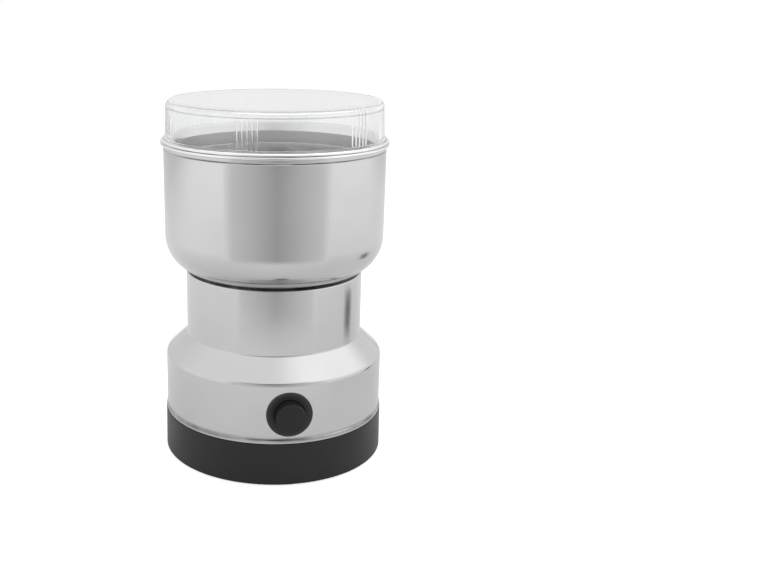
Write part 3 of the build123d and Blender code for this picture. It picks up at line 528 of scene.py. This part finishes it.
# %% Plastics and rubber
PLASTICS = {
    "black_plastic": ("base_black", (0.009, 0.009, 0.01), (0.014, 0.014, 0.014), 0.34, 0.44, 0.000006),
    "button_plastic": ("button_black", (0.014, 0.014, 0.014), (0.021, 0.021, 0.021), 0.44, 0.54, 0.000006),
    "bezel": ("bezel_black", (0.038, 0.038, 0.038), (0.05, 0.05, 0.05), 0.44, 0.54, 0.000006),
    # The button's sides take a darker copy of its black: painted shade.
    "button_side": ("button_side_painted_shade", (0.003, 0.003, 0.003), (0.005, 0.005, 0.005), 0.8, 0.9, 0.000006),
    "rubber": ("foot_rubber", (0.004, 0.004, 0.004), (0.009, 0.009, 0.009), 0.6, 0.75, 0.000012),
    "frame_plastic": ("frame_grey", (0.5, 0.5, 0.48), (0.58, 0.58, 0.56), 0.45, 0.55, 0.000008),
    "fan_plastic": ("fan_dark", (0.1, 0.1, 0.11), (0.14, 0.14, 0.15), 0.42, 0.52, 0.000008),
    "carbon": ("brush_carbon", (0.03, 0.03, 0.034), (0.06, 0.06, 0.065), 0.5, 0.7, 0.00001),
    "insulation": ("lead_red", (0.5, 0.05, 0.04), (0.6, 0.09, 0.07), 0.35, 0.45, 0.000004),
}
PLASTIC_SMUDGES = 45
PLASTIC_GLOSS = 0.32
BASE_GLOSS = 0.42
SKIN_SCALE = 2400
for slot, (name, dark, light, smooth, rough, depth) in PLASTICS.items():
    gloss = BASE_GLOSS if slot == "black_plastic" else PLASTIC_GLOSS
    plastic = worn_finish(name, PLASTIC_SMUDGES, dark, light, smooth, rough, specular=gloss)
    raised(plastic, placed(plastic, skin_tree, Scale=SKIN_SCALE), depth)
    finishes[slot] = plastic
print("finishes", sorted(finishes))

# %% [markdown]
# The motor's metals are seen only when the grinder is taken apart. They take the same recipe with a deeper
# grain: the edges of stamped sheets, wound wire, stamped brass and porous bronze.

# %% Motor metals
METALS = {
    "laminations": ("stamped_sheets", (0.22, 0.22, 0.24), (0.34, 0.34, 0.35), 0.45, 0.6, 1800),
    "copper": ("enamelled_wire", (0.48, 0.19, 0.08), (0.72, 0.36, 0.18), 0.25, 0.4, 1500),
    "brass": ("stamped_brass", (0.66, 0.5, 0.22), (0.78, 0.62, 0.33), 0.25, 0.38, 2200),
    "bronze": ("sintered_bronze", (0.42, 0.29, 0.15), (0.6, 0.44, 0.25), 0.4, 0.6, 3000),
}
METAL_SMUDGES = 220
METAL_GRAIN = 0.00002
for slot, (name, dark, light, smooth, rough, lines) in METALS.items():
    metal = worn_finish(name, METAL_SMUDGES, dark, light, smooth, rough, metallic=1.0)
    raised(metal, placed(metal, grain_tree, Lines=lines), METAL_GRAIN)
    finishes[slot] = metal
print("finishes", sorted(finishes))

# %% [markdown]
# Clear plastic is a Principled shader with full transmission and the bending power of acrylic. A light ray
# that gets caught in a thick wall bounces there until the renderer gives up, and leaves a black line.
# So a ray that has already met four faces passes straight through, and so does a shadow ray. The second clear
# finish is grey and a little rough, for fine lines along the lid's edges: on the rounded edge and under it it
# is painted reflection, the dark lines that the edges of clear plastic show, and on the ledge it is painted
# shade for the gap to the rim.

# %% Clear plastic
ACRYLIC_IOR = 1.49
CLEAR_SMUDGES = 55
FACES_BENT = 3.5
LIGHT_PASSED = 0.99


def clear_finish(name, dark, light, smooth, rough):
    """Clear plastic that never traps a ray, from two tints and two roughness values."""
    material = worn_finish(name, CLEAR_SMUDGES, dark, light, smooth, rough)
    tree = material.node_tree
    shader = tree.nodes["Principled BSDF"]
    shader.inputs["Transmission Weight"].default_value = 1
    shader.inputs["IOR"].default_value = ACRYLIC_IOR
    path = tree.nodes.new("ShaderNodeLightPath").outputs
    caught = computed(tree, "GREATER_THAN", path["Ray Depth"], FACES_BENT)
    passes = computed(tree, "MAXIMUM", caught, path["Is Shadow Ray"])
    straight_on = tree.nodes.new("ShaderNodeBsdfTransparent")
    straight_on.inputs["Color"].default_value = grey(LIGHT_PASSED)
    either = tree.nodes.new("ShaderNodeMixShader")
    for socket, setting in zip(either.inputs, (passes, shader.outputs[0], straight_on.outputs[0])):
        feed(tree, socket, setting)
    tree.links.new(either.outputs[0], tree.nodes["Material Output"].inputs["Surface"])
    return material


finishes["clear_lid"] = clear_finish(
    "clear_lid_plastic", (0.9, 0.905, 0.905), (0.92, 0.925, 0.925), smooth=0.0, rough=0.04
)
# Grey lines on the lid's edges: painted reflection, and painted shade on the ledge.
finishes["lid_line"] = clear_finish("lid_painted_line", (0.4, 0.4, 0.4), (0.5, 0.5, 0.5), smooth=0.2, rough=0.3)
print("finishes", len(finishes))

# %% [markdown]
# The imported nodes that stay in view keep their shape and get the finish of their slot. The button's bezel
# is a paler black than its cap.

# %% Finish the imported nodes
slot_of = {row["node"]: row["material_slot"] for row in frame["record"]["subparts"]}
for node, piece in frame["nodes"].items():
    piece.data.materials.clear()
    piece.data.materials.append(finishes["bezel" if node == "switch_bezel" else slot_of[node]])
print("nodes with a finish", len(slot_of))

# %% [markdown]
# The bowl, body, lid and button are round pieces, made on the real object by drawing or moulding round an
# axis. The way that comes nearest in Blender is to draw half of the section and spin it. Corners of the
# section are given with their own rounding, so that edges catch a line of light as pressed sheet does.

# %% Tools for turned pieces
MERGED_WITHIN = 0.002 * MM


def rounded(corners, steps=8):
    """Points of a closed section in millimetres, from corners of (radius, height, rounding)."""
    points = []
    for i, (across, up, rounding) in enumerate(corners):
        here = Vector((across, up))
        if rounding == 0:
            points.append(here)
            continue
        before = (Vector(corners[i - 1][:2]) - here).normalized()
        after = (Vector(corners[(i + 1) % len(corners)][:2]) - here).normalized()
        half = before.angle(after) / 2
        centre = here + (before + after).normalized() * rounding / sin(half)
        start = here + before * rounding / tan(half) - centre
        end = here + after * rounding / tan(half) - centre
        turn = atan2(start.x * end.y - start.y * end.x, start.dot(end))
        first = atan2(start.y, start.x)
        for step in range(steps + 1):
            way = first + turn * step / steps
            points.append(centre + Vector((cos(way), sin(way))) * rounding)
    return points


def turned(name, section, steps):
    """A piece spun round the upright axis from a closed section in millimetres."""
    at = section[0]
    piece = from_point(name, (at.x * MM, 0, at.y * MM))
    for point in section[1:] + section[:1]:
        step = (point - at) * MM
        bpy.ops.mesh.extrude_region_move(TRANSFORM_OT_translate={"value": (step.x, 0, step.y)})
        at = point
    bpy.ops.mesh.select_all(action="SELECT")
    bpy.ops.mesh.spin(steps=steps, angle=2 * pi, center=(0, 0, 0), axis=(0, 0, 1))
    bpy.ops.mesh.select_all(action="SELECT")
    bpy.ops.mesh.remove_doubles(threshold=MERGED_WITHIN)
    bpy.ops.mesh.normals_make_consistent(inside=False)
    bpy.ops.object.mode_set(mode="OBJECT")
    return piece


def lean(face):
    """Positive where a face looks away from the upright axis, negative where it looks inwards."""
    return face.normal.x * face.center.x + face.normal.y * face.center.y


def settle(piece, node, body, sharp=35):
    """Shades a finished piece, gives it its node's finish and lets it ride in the node's place."""
    bpy.ops.object.select_all(action="DESELECT")
    piece.select_set(True)
    bpy.context.view_layer.objects.active = piece
    bpy.ops.object.shade_smooth_by_angle(angle=radians(sharp))
    bpy.ops.object.modifier_add(type="WEIGHTED_NORMAL")
    piece.modifiers[-1].keep_sharp = True
    bpy.ops.object.modifier_apply(modifier=piece.modifiers[-1].name)
    piece.data.materials.clear()
    piece.data.materials.append(finishes[slot_of[node]])
    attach(piece, body)
    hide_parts(node)
    low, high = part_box(node)
    for axis in range(3):
        reach = [corner[axis] / MM for corner in piece.bound_box]
        spare = (min(reach) - low[axis] / MM, high[axis] / MM - max(reach))
        print(piece.name, "XYZ"[axis], "inside its node's box by", [round(value, 2) for value in spare])
    return piece


print("tools ready")

# %% [markdown]
# The bowl is drawn from one sheet: a flat floor, a short cone, a wide rounding and a straight wall that
# flares a little and ends in a bead, rolled twice, so that a fine fold runs round it. Its outside is
# polished and its inside satin, so the faces that look inwards get the second finish, the bead gets the
# third and the mouth inside it the fourth.

# %% Bowl
RIM_TOP = 148.4
BEAD_LOW = 145.8
FOLD = 147.2
FOLD_DEPTH = 0.65
FOLD_HALF = 0.12
BEAD_RADIUS = 51.9
UPPER_BEAD_RADIUS = 51.75
MOUTH_RADIUS = 50.4
FLARE_LOW = 144.2
MOUTH_LOW = 144.4
SHEET = 0.8
BOWL_RADIUS = 50.6
BOWL_FLOOR = 87.0
BOWL_HOLE = 6.0
CONE_LOW_OUTSIDE = 38.99
CONE_LOW_INSIDE = 38.72
WALL_MIDDLE = 110.0
ROUNDING = 17.55
ROUNDING_TURN = radians(48)
ROUNDING_STEPS = 16
TURNED_STEPS = 160
rounding_centre = Vector((BOWL_RADIUS - ROUNDING, 104.42))


def bowl_arc(radius, upwards):
    """The rounding at the foot of the bowl's wall, from the cone to the wall or back."""
    ways = [-ROUNDING_TURN + ROUNDING_TURN * step / ROUNDING_STEPS for step in range(ROUNDING_STEPS + 1)]
    if not upwards:
        ways.reverse()
    return [rounding_centre + Vector((cos(way), sin(way))) * radius for way in ways]


rim = rounded(
    [
        (BOWL_RADIUS, WALL_MIDDLE, 0),
        (BOWL_RADIUS, FLARE_LOW - 0.7, 0.3),
        (BOWL_RADIUS - 0.2, FLARE_LOW - 0.2, 0.3),
        (BOWL_RADIUS + 0.05, FLARE_LOW + 0.25, 0.2),
        (BOWL_RADIUS + 0.2, BEAD_LOW, 0),
        (BEAD_RADIUS, BEAD_LOW, 0.5),
        (BEAD_RADIUS, FOLD - 0.15, 0.6),
        (BEAD_RADIUS - FOLD_DEPTH, FOLD - FOLD_HALF, 0),
        (BEAD_RADIUS - FOLD_DEPTH, FOLD + FOLD_HALF, 0),
        (UPPER_BEAD_RADIUS, FOLD + 0.15, 0.2),
        (UPPER_BEAD_RADIUS, RIM_TOP, 0.8),
        (MOUTH_RADIUS, RIM_TOP, 0.2),
        (BOWL_RADIUS - SHEET, MOUTH_LOW, 1.5),
        (BOWL_RADIUS - SHEET, WALL_MIDDLE, 0),
    ]
)[1:-1]
floor_low = [Vector((BOWL_HOLE, BOWL_FLOOR)), Vector((CONE_LOW_OUTSIDE, BOWL_FLOOR))]
floor_high = [Vector((CONE_LOW_INSIDE, BOWL_FLOOR + SHEET)), Vector((BOWL_HOLE, BOWL_FLOOR + SHEET))]
bowl_section = floor_low + bowl_arc(ROUNDING, True) + rim + bowl_arc(ROUNDING - SHEET, False) + floor_high
bowl = settle(turned("bowl_drawn", bowl_section, TURNED_STEPS), "bowl", "housing")
INSIDE, BEAD, MOUTH = 1, 2, 3
for slot in ("bowl_inside", "bead", "mouth"):
    bowl.data.materials.append(finishes[slot])
for face in bowl.data.polygons:
    inwards = lean(face) < 0
    above_floor = face.center.z > (BOWL_FLOOR + SHEET / 2) * MM and face.normal.z > 0.9
    if inwards and face.center.z > MOUTH_LOW * MM:
        face.material_index = MOUTH
    elif inwards or above_floor:
        face.material_index = INSIDE
    elif face.center.z > BEAD_LOW * MM:
        face.material_index = BEAD
print("bead faces", sum(face.material_index == BEAD for face in bowl.data.polygons))

# %% [markdown]
# The body shell is one more drawing: a skirt, a sloped shoulder and a neck with a lip that carries the
# bowl. Its foot is folded out into a hem. The hole for the button is punched, here with a Boolean.

# %% Body shell
SKIRT = 51.05
NECK = 41.09
HEM = 51.45
SEAT = 20.1
HEM_TOP = 21.85
SKIRT_LOW = 22.45
SHOULDER_LOW = 48.0
SHOULDER_HIGH = 57.3
NECK_TOP = 87.355
LIP = 39.49
BUTTON_HEIGHT = 34.05
BUTTON_HOLE = 9.1
HOLE_DEPTH = 20
slope = atan2(SHOULDER_HIGH - SHOULDER_LOW, SKIRT - NECK)
drop = SHEET * tan((pi / 2 - slope) / 2)
shell_section = rounded(
    [
        (HEM, SEAT, 0.4),
        (HEM, HEM_TOP, 0.35),
        (SKIRT, SKIRT_LOW, 0.3),
        (SKIRT, SHOULDER_LOW, 3.0),
        (NECK, SHOULDER_HIGH, 1.2),
        (NECK, NECK_TOP, 0.7),
        (LIP, NECK_TOP, 0),
        (LIP, NECK_TOP - SHEET, 0),
        (NECK - SHEET, NECK_TOP - SHEET, 0),
        (NECK - SHEET, SHOULDER_HIGH - drop, 2.0),
        (SKIRT - SHEET, SHOULDER_LOW - drop, 2.2),
        (SKIRT - SHEET, SEAT, 0),
    ]
)
shell = turned("body_drawn", shell_section, TURNED_STEPS)
button_place = (0, -SKIRT * MM, BUTTON_HEIGHT * MM)
laid_over = (pi / 2, 0, 0)
bpy.ops.object.select_all(action="DESELECT")
bpy.ops.mesh.primitive_cylinder_add(
    vertices=64,
    radius=BUTTON_HOLE * MM,
    depth=HOLE_DEPTH * MM,
    location=button_place,
    rotation=laid_over,
)
cutter = bpy.context.object
bpy.ops.object.select_all(action="DESELECT")
bpy.context.view_layer.objects.active = shell
shell.select_set(True)
cut = shell.modifiers.new("button_hole", "BOOLEAN")
cut.object = cutter
cut.operation = "DIFFERENCE"
bpy.ops.object.modifier_apply(modifier=cut.name)
bpy.data.objects.remove(cutter)
settle(shell, "body_shell", "housing")

# %% [markdown]
# The button is a moulded cap with a soft edge, a stop collar and a stem. It is turned upright like the other
# pieces and then laid over, so that its face looks out of the body. Its sides are rougher than its face and
# darker too: the darker tone is painted shade, for the shadow of the bezel round them.

# %% Button
CAP_RADIUS = 6.7
CAP_FACE = 5.6
COLLAR_RADIUS = 7.5
COLLAR_TOP = -4.2
COLLAR_LOW = -6.2
HOLLOW_RADIUS = 4.2
HOLLOW_TOP = 3.0
STEM_RADIUS = 1.4
STEM_LOW = -14.4
BUTTON_STEPS = 96
SHADED_SIDE = 1


def lay_over(piece):
    """Lays an upright piece over, so that its top looks out of the button's hole."""
    piece.rotation_euler = laid_over
    piece.location = button_place
    bpy.ops.object.transform_apply(location=True, rotation=True, scale=True)


button_section = rounded(
    [
        (0, CAP_FACE, 0),
        (CAP_RADIUS, CAP_FACE, 0.6),
        (CAP_RADIUS, COLLAR_TOP, 0),
        (COLLAR_RADIUS, COLLAR_TOP, 0.2),
        (COLLAR_RADIUS, COLLAR_LOW, 0.2),
        (HOLLOW_RADIUS, COLLAR_LOW, 0),
        (HOLLOW_RADIUS, HOLLOW_TOP, 0),
        (STEM_RADIUS, HOLLOW_TOP, 0),
        (STEM_RADIUS, STEM_LOW, 0.3),
        (0, STEM_LOW, 0),
    ]
)
button = turned("button_moulded", button_section, BUTTON_STEPS)
lay_over(button)
settle(button, "button_cap", "button")
# The side faces take the darker copy: painted shade from the bezel.
button.data.materials.append(finishes["button_side"])
for face in button.data.polygons:
    if abs(face.normal.y) < 0.4:
        face.material_index = SHADED_SIDE
print("shaded side faces", sum(face.material_index for face in button.data.polygons))

# %% [markdown]
# A wound spring pushes the button out again. The imported model holds a plain sleeve in its place. Here it is
# wire: a small circle that a Screw modifier carries round the axis and along it.

# %% Button spring
SPRING_LOW = -13.0
SPRING_HIGH = 2.75
SPRING_RADIUS = 3.95
WIRE = 0.35
TURNS = 7
COIL_STEPS = 32
bpy.ops.object.select_all(action="DESELECT")
bpy.ops.mesh.primitive_circle_add(
    vertices=12,
    radius=WIRE * MM,
    location=((SPRING_RADIUS - WIRE) * MM, 0, (SPRING_LOW + WIRE) * MM),
    rotation=(pi / 2, 0, 0),
)
spring = bpy.context.object
spring.name = "spring_wound"
bpy.ops.object.transform_apply(location=True, rotation=True, scale=True)
winding = spring.modifiers.new("winding", "SCREW")
winding.axis = "Z"
winding.iterations = TURNS
winding.screw_offset = (SPRING_HIGH - SPRING_LOW - 2 * WIRE) * MM / TURNS
winding.steps = COIL_STEPS
winding.render_steps = COIL_STEPS
bpy.ops.object.modifier_apply(modifier=winding.name)
bpy.ops.object.mode_set(mode="EDIT")
bpy.ops.mesh.select_all(action="SELECT")
bpy.ops.mesh.remove_doubles(threshold=MERGED_WITHIN)
bpy.ops.mesh.fill_holes(sides=0)
bpy.ops.mesh.select_all(action="SELECT")
bpy.ops.mesh.normals_make_consistent(inside=False)
bpy.ops.object.mode_set(mode="OBJECT")
lay_over(spring)
settle(spring, "button_spring", "housing")
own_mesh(spring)
print("coils", TURNS)

# %% [markdown]
# The lid is moulded in one piece: a flat top with a rounded edge, a wall, a thin ledge at the rim and a plug
# that goes into the bowl. Six groups of five small ribs give a grip. A rib is one column of the wall's
# faces, up onto the rounded edge, raised in three steps that grow narrower, so that it ends in a soft crown.
# One ring of faces on the rounded edge, a narrow one under it and the ledge's lower edge get the grey line
# finish: painted reflection on the edge, painted shade on the ledge.

# %% Lid
LID_TOP = 165.9
LID_CEILING = 163.9
TOP_RADIUS = 48.85
CEILING_RADIUS = 46.85
LINE_LOW = 162.1
LEDGE_TOP = 149.3
LEDGE_LOW = 148.65
LEDGE_RADIUS = 50.35
LEDGE_ROUNDING = 0.25
PLUG_LOW = 138.4
LID_STEPS = 288
STEP_TURN = 360 / LID_STEPS
RIB_GROUPS = 6
RIB_COLUMNS = (0, 2, 4, 6, 8)
RIB_FOOT = 0.15
RIB_INSETS = ((0.13, 0.18), (0.2, 0.12))
COUNTED_LOW = 155
COUNTED_HIGH = 160
GROUP_TURN = -112
EDGE_LOW = 164
PAINTED_LINE = 1
lid_section = rounded(
    [
        (0, LID_TOP, 0),
        (TOP_RADIUS, LID_TOP, 2.6),
        (48.98, LINE_LOW + 0.45, 0),
        (49.0, LINE_LOW, 0),
        (49.5, LEDGE_TOP, 0),
        (LEDGE_RADIUS, LEDGE_TOP, LEDGE_ROUNDING),
        (LEDGE_RADIUS, LEDGE_LOW, LEDGE_ROUNDING),
        (49.45, LEDGE_LOW, 0),
        (48.95, PLUG_LOW, 0.4),
        (47.45, PLUG_LOW, 0.4),
        (CEILING_RADIUS, LID_CEILING, 0.6),
        (0, LID_CEILING, 0),
    ]
)
lid = turned("lid_moulded", lid_section, LID_STEPS)
bpy.ops.object.mode_set(mode="EDIT")
bpy.ops.mesh.select_mode(type="FACE")
bpy.ops.mesh.select_all(action="DESELECT")
bpy.ops.object.mode_set(mode="OBJECT")
middle_column = int((GROUP_TURN % 360) // STEP_TURN)
first_column = middle_column - RIB_COLUMNS[len(RIB_COLUMNS) // 2]
for face in lid.data.polygons:
    on_wall = face.center.z > LEDGE_TOP * MM and face.normal.z < 0.7 and lean(face) > 0
    column = int((degrees(atan2(face.center.y, face.center.x)) % 360) // STEP_TURN)
    face.select = on_wall and (column - first_column) % (LID_STEPS // RIB_GROUPS) in RIB_COLUMNS
chosen = [face.center.z / MM for face in lid.data.polygons if face.select]
ribs = sum(COUNTED_LOW < height < COUNTED_HIGH for height in chosen)
bpy.ops.object.mode_set(mode="EDIT")
bpy.ops.mesh.extrude_region_shrink_fatten(TRANSFORM_OT_shrink_fatten={"value": RIB_FOOT * MM})
for thickness, depth in RIB_INSETS:
    bpy.ops.mesh.inset(thickness=thickness * MM, depth=depth * MM)
bpy.ops.object.mode_set(mode="OBJECT")
print("ribs", ribs)
settle(lid, "lid", "lid", sharp=50)
lid.data.materials.append(finishes["lid_line"])
for face in lid.data.polygons:
    height = face.center.z / MM
    under_edge = LINE_LOW < height < LINE_LOW + 0.4
    on_edge = 0.6 < face.normal.z < 0.7 and height > EDGE_LOW
    on_ledge = LEDGE_LOW < height < LEDGE_LOW + LEDGE_ROUNDING
    if lean(face) > 0 and (under_edge or on_edge or on_ledge):
        face.material_index = PAINTED_LINE
print("painted line faces", sum(face.material_index for face in lid.data.polygons))
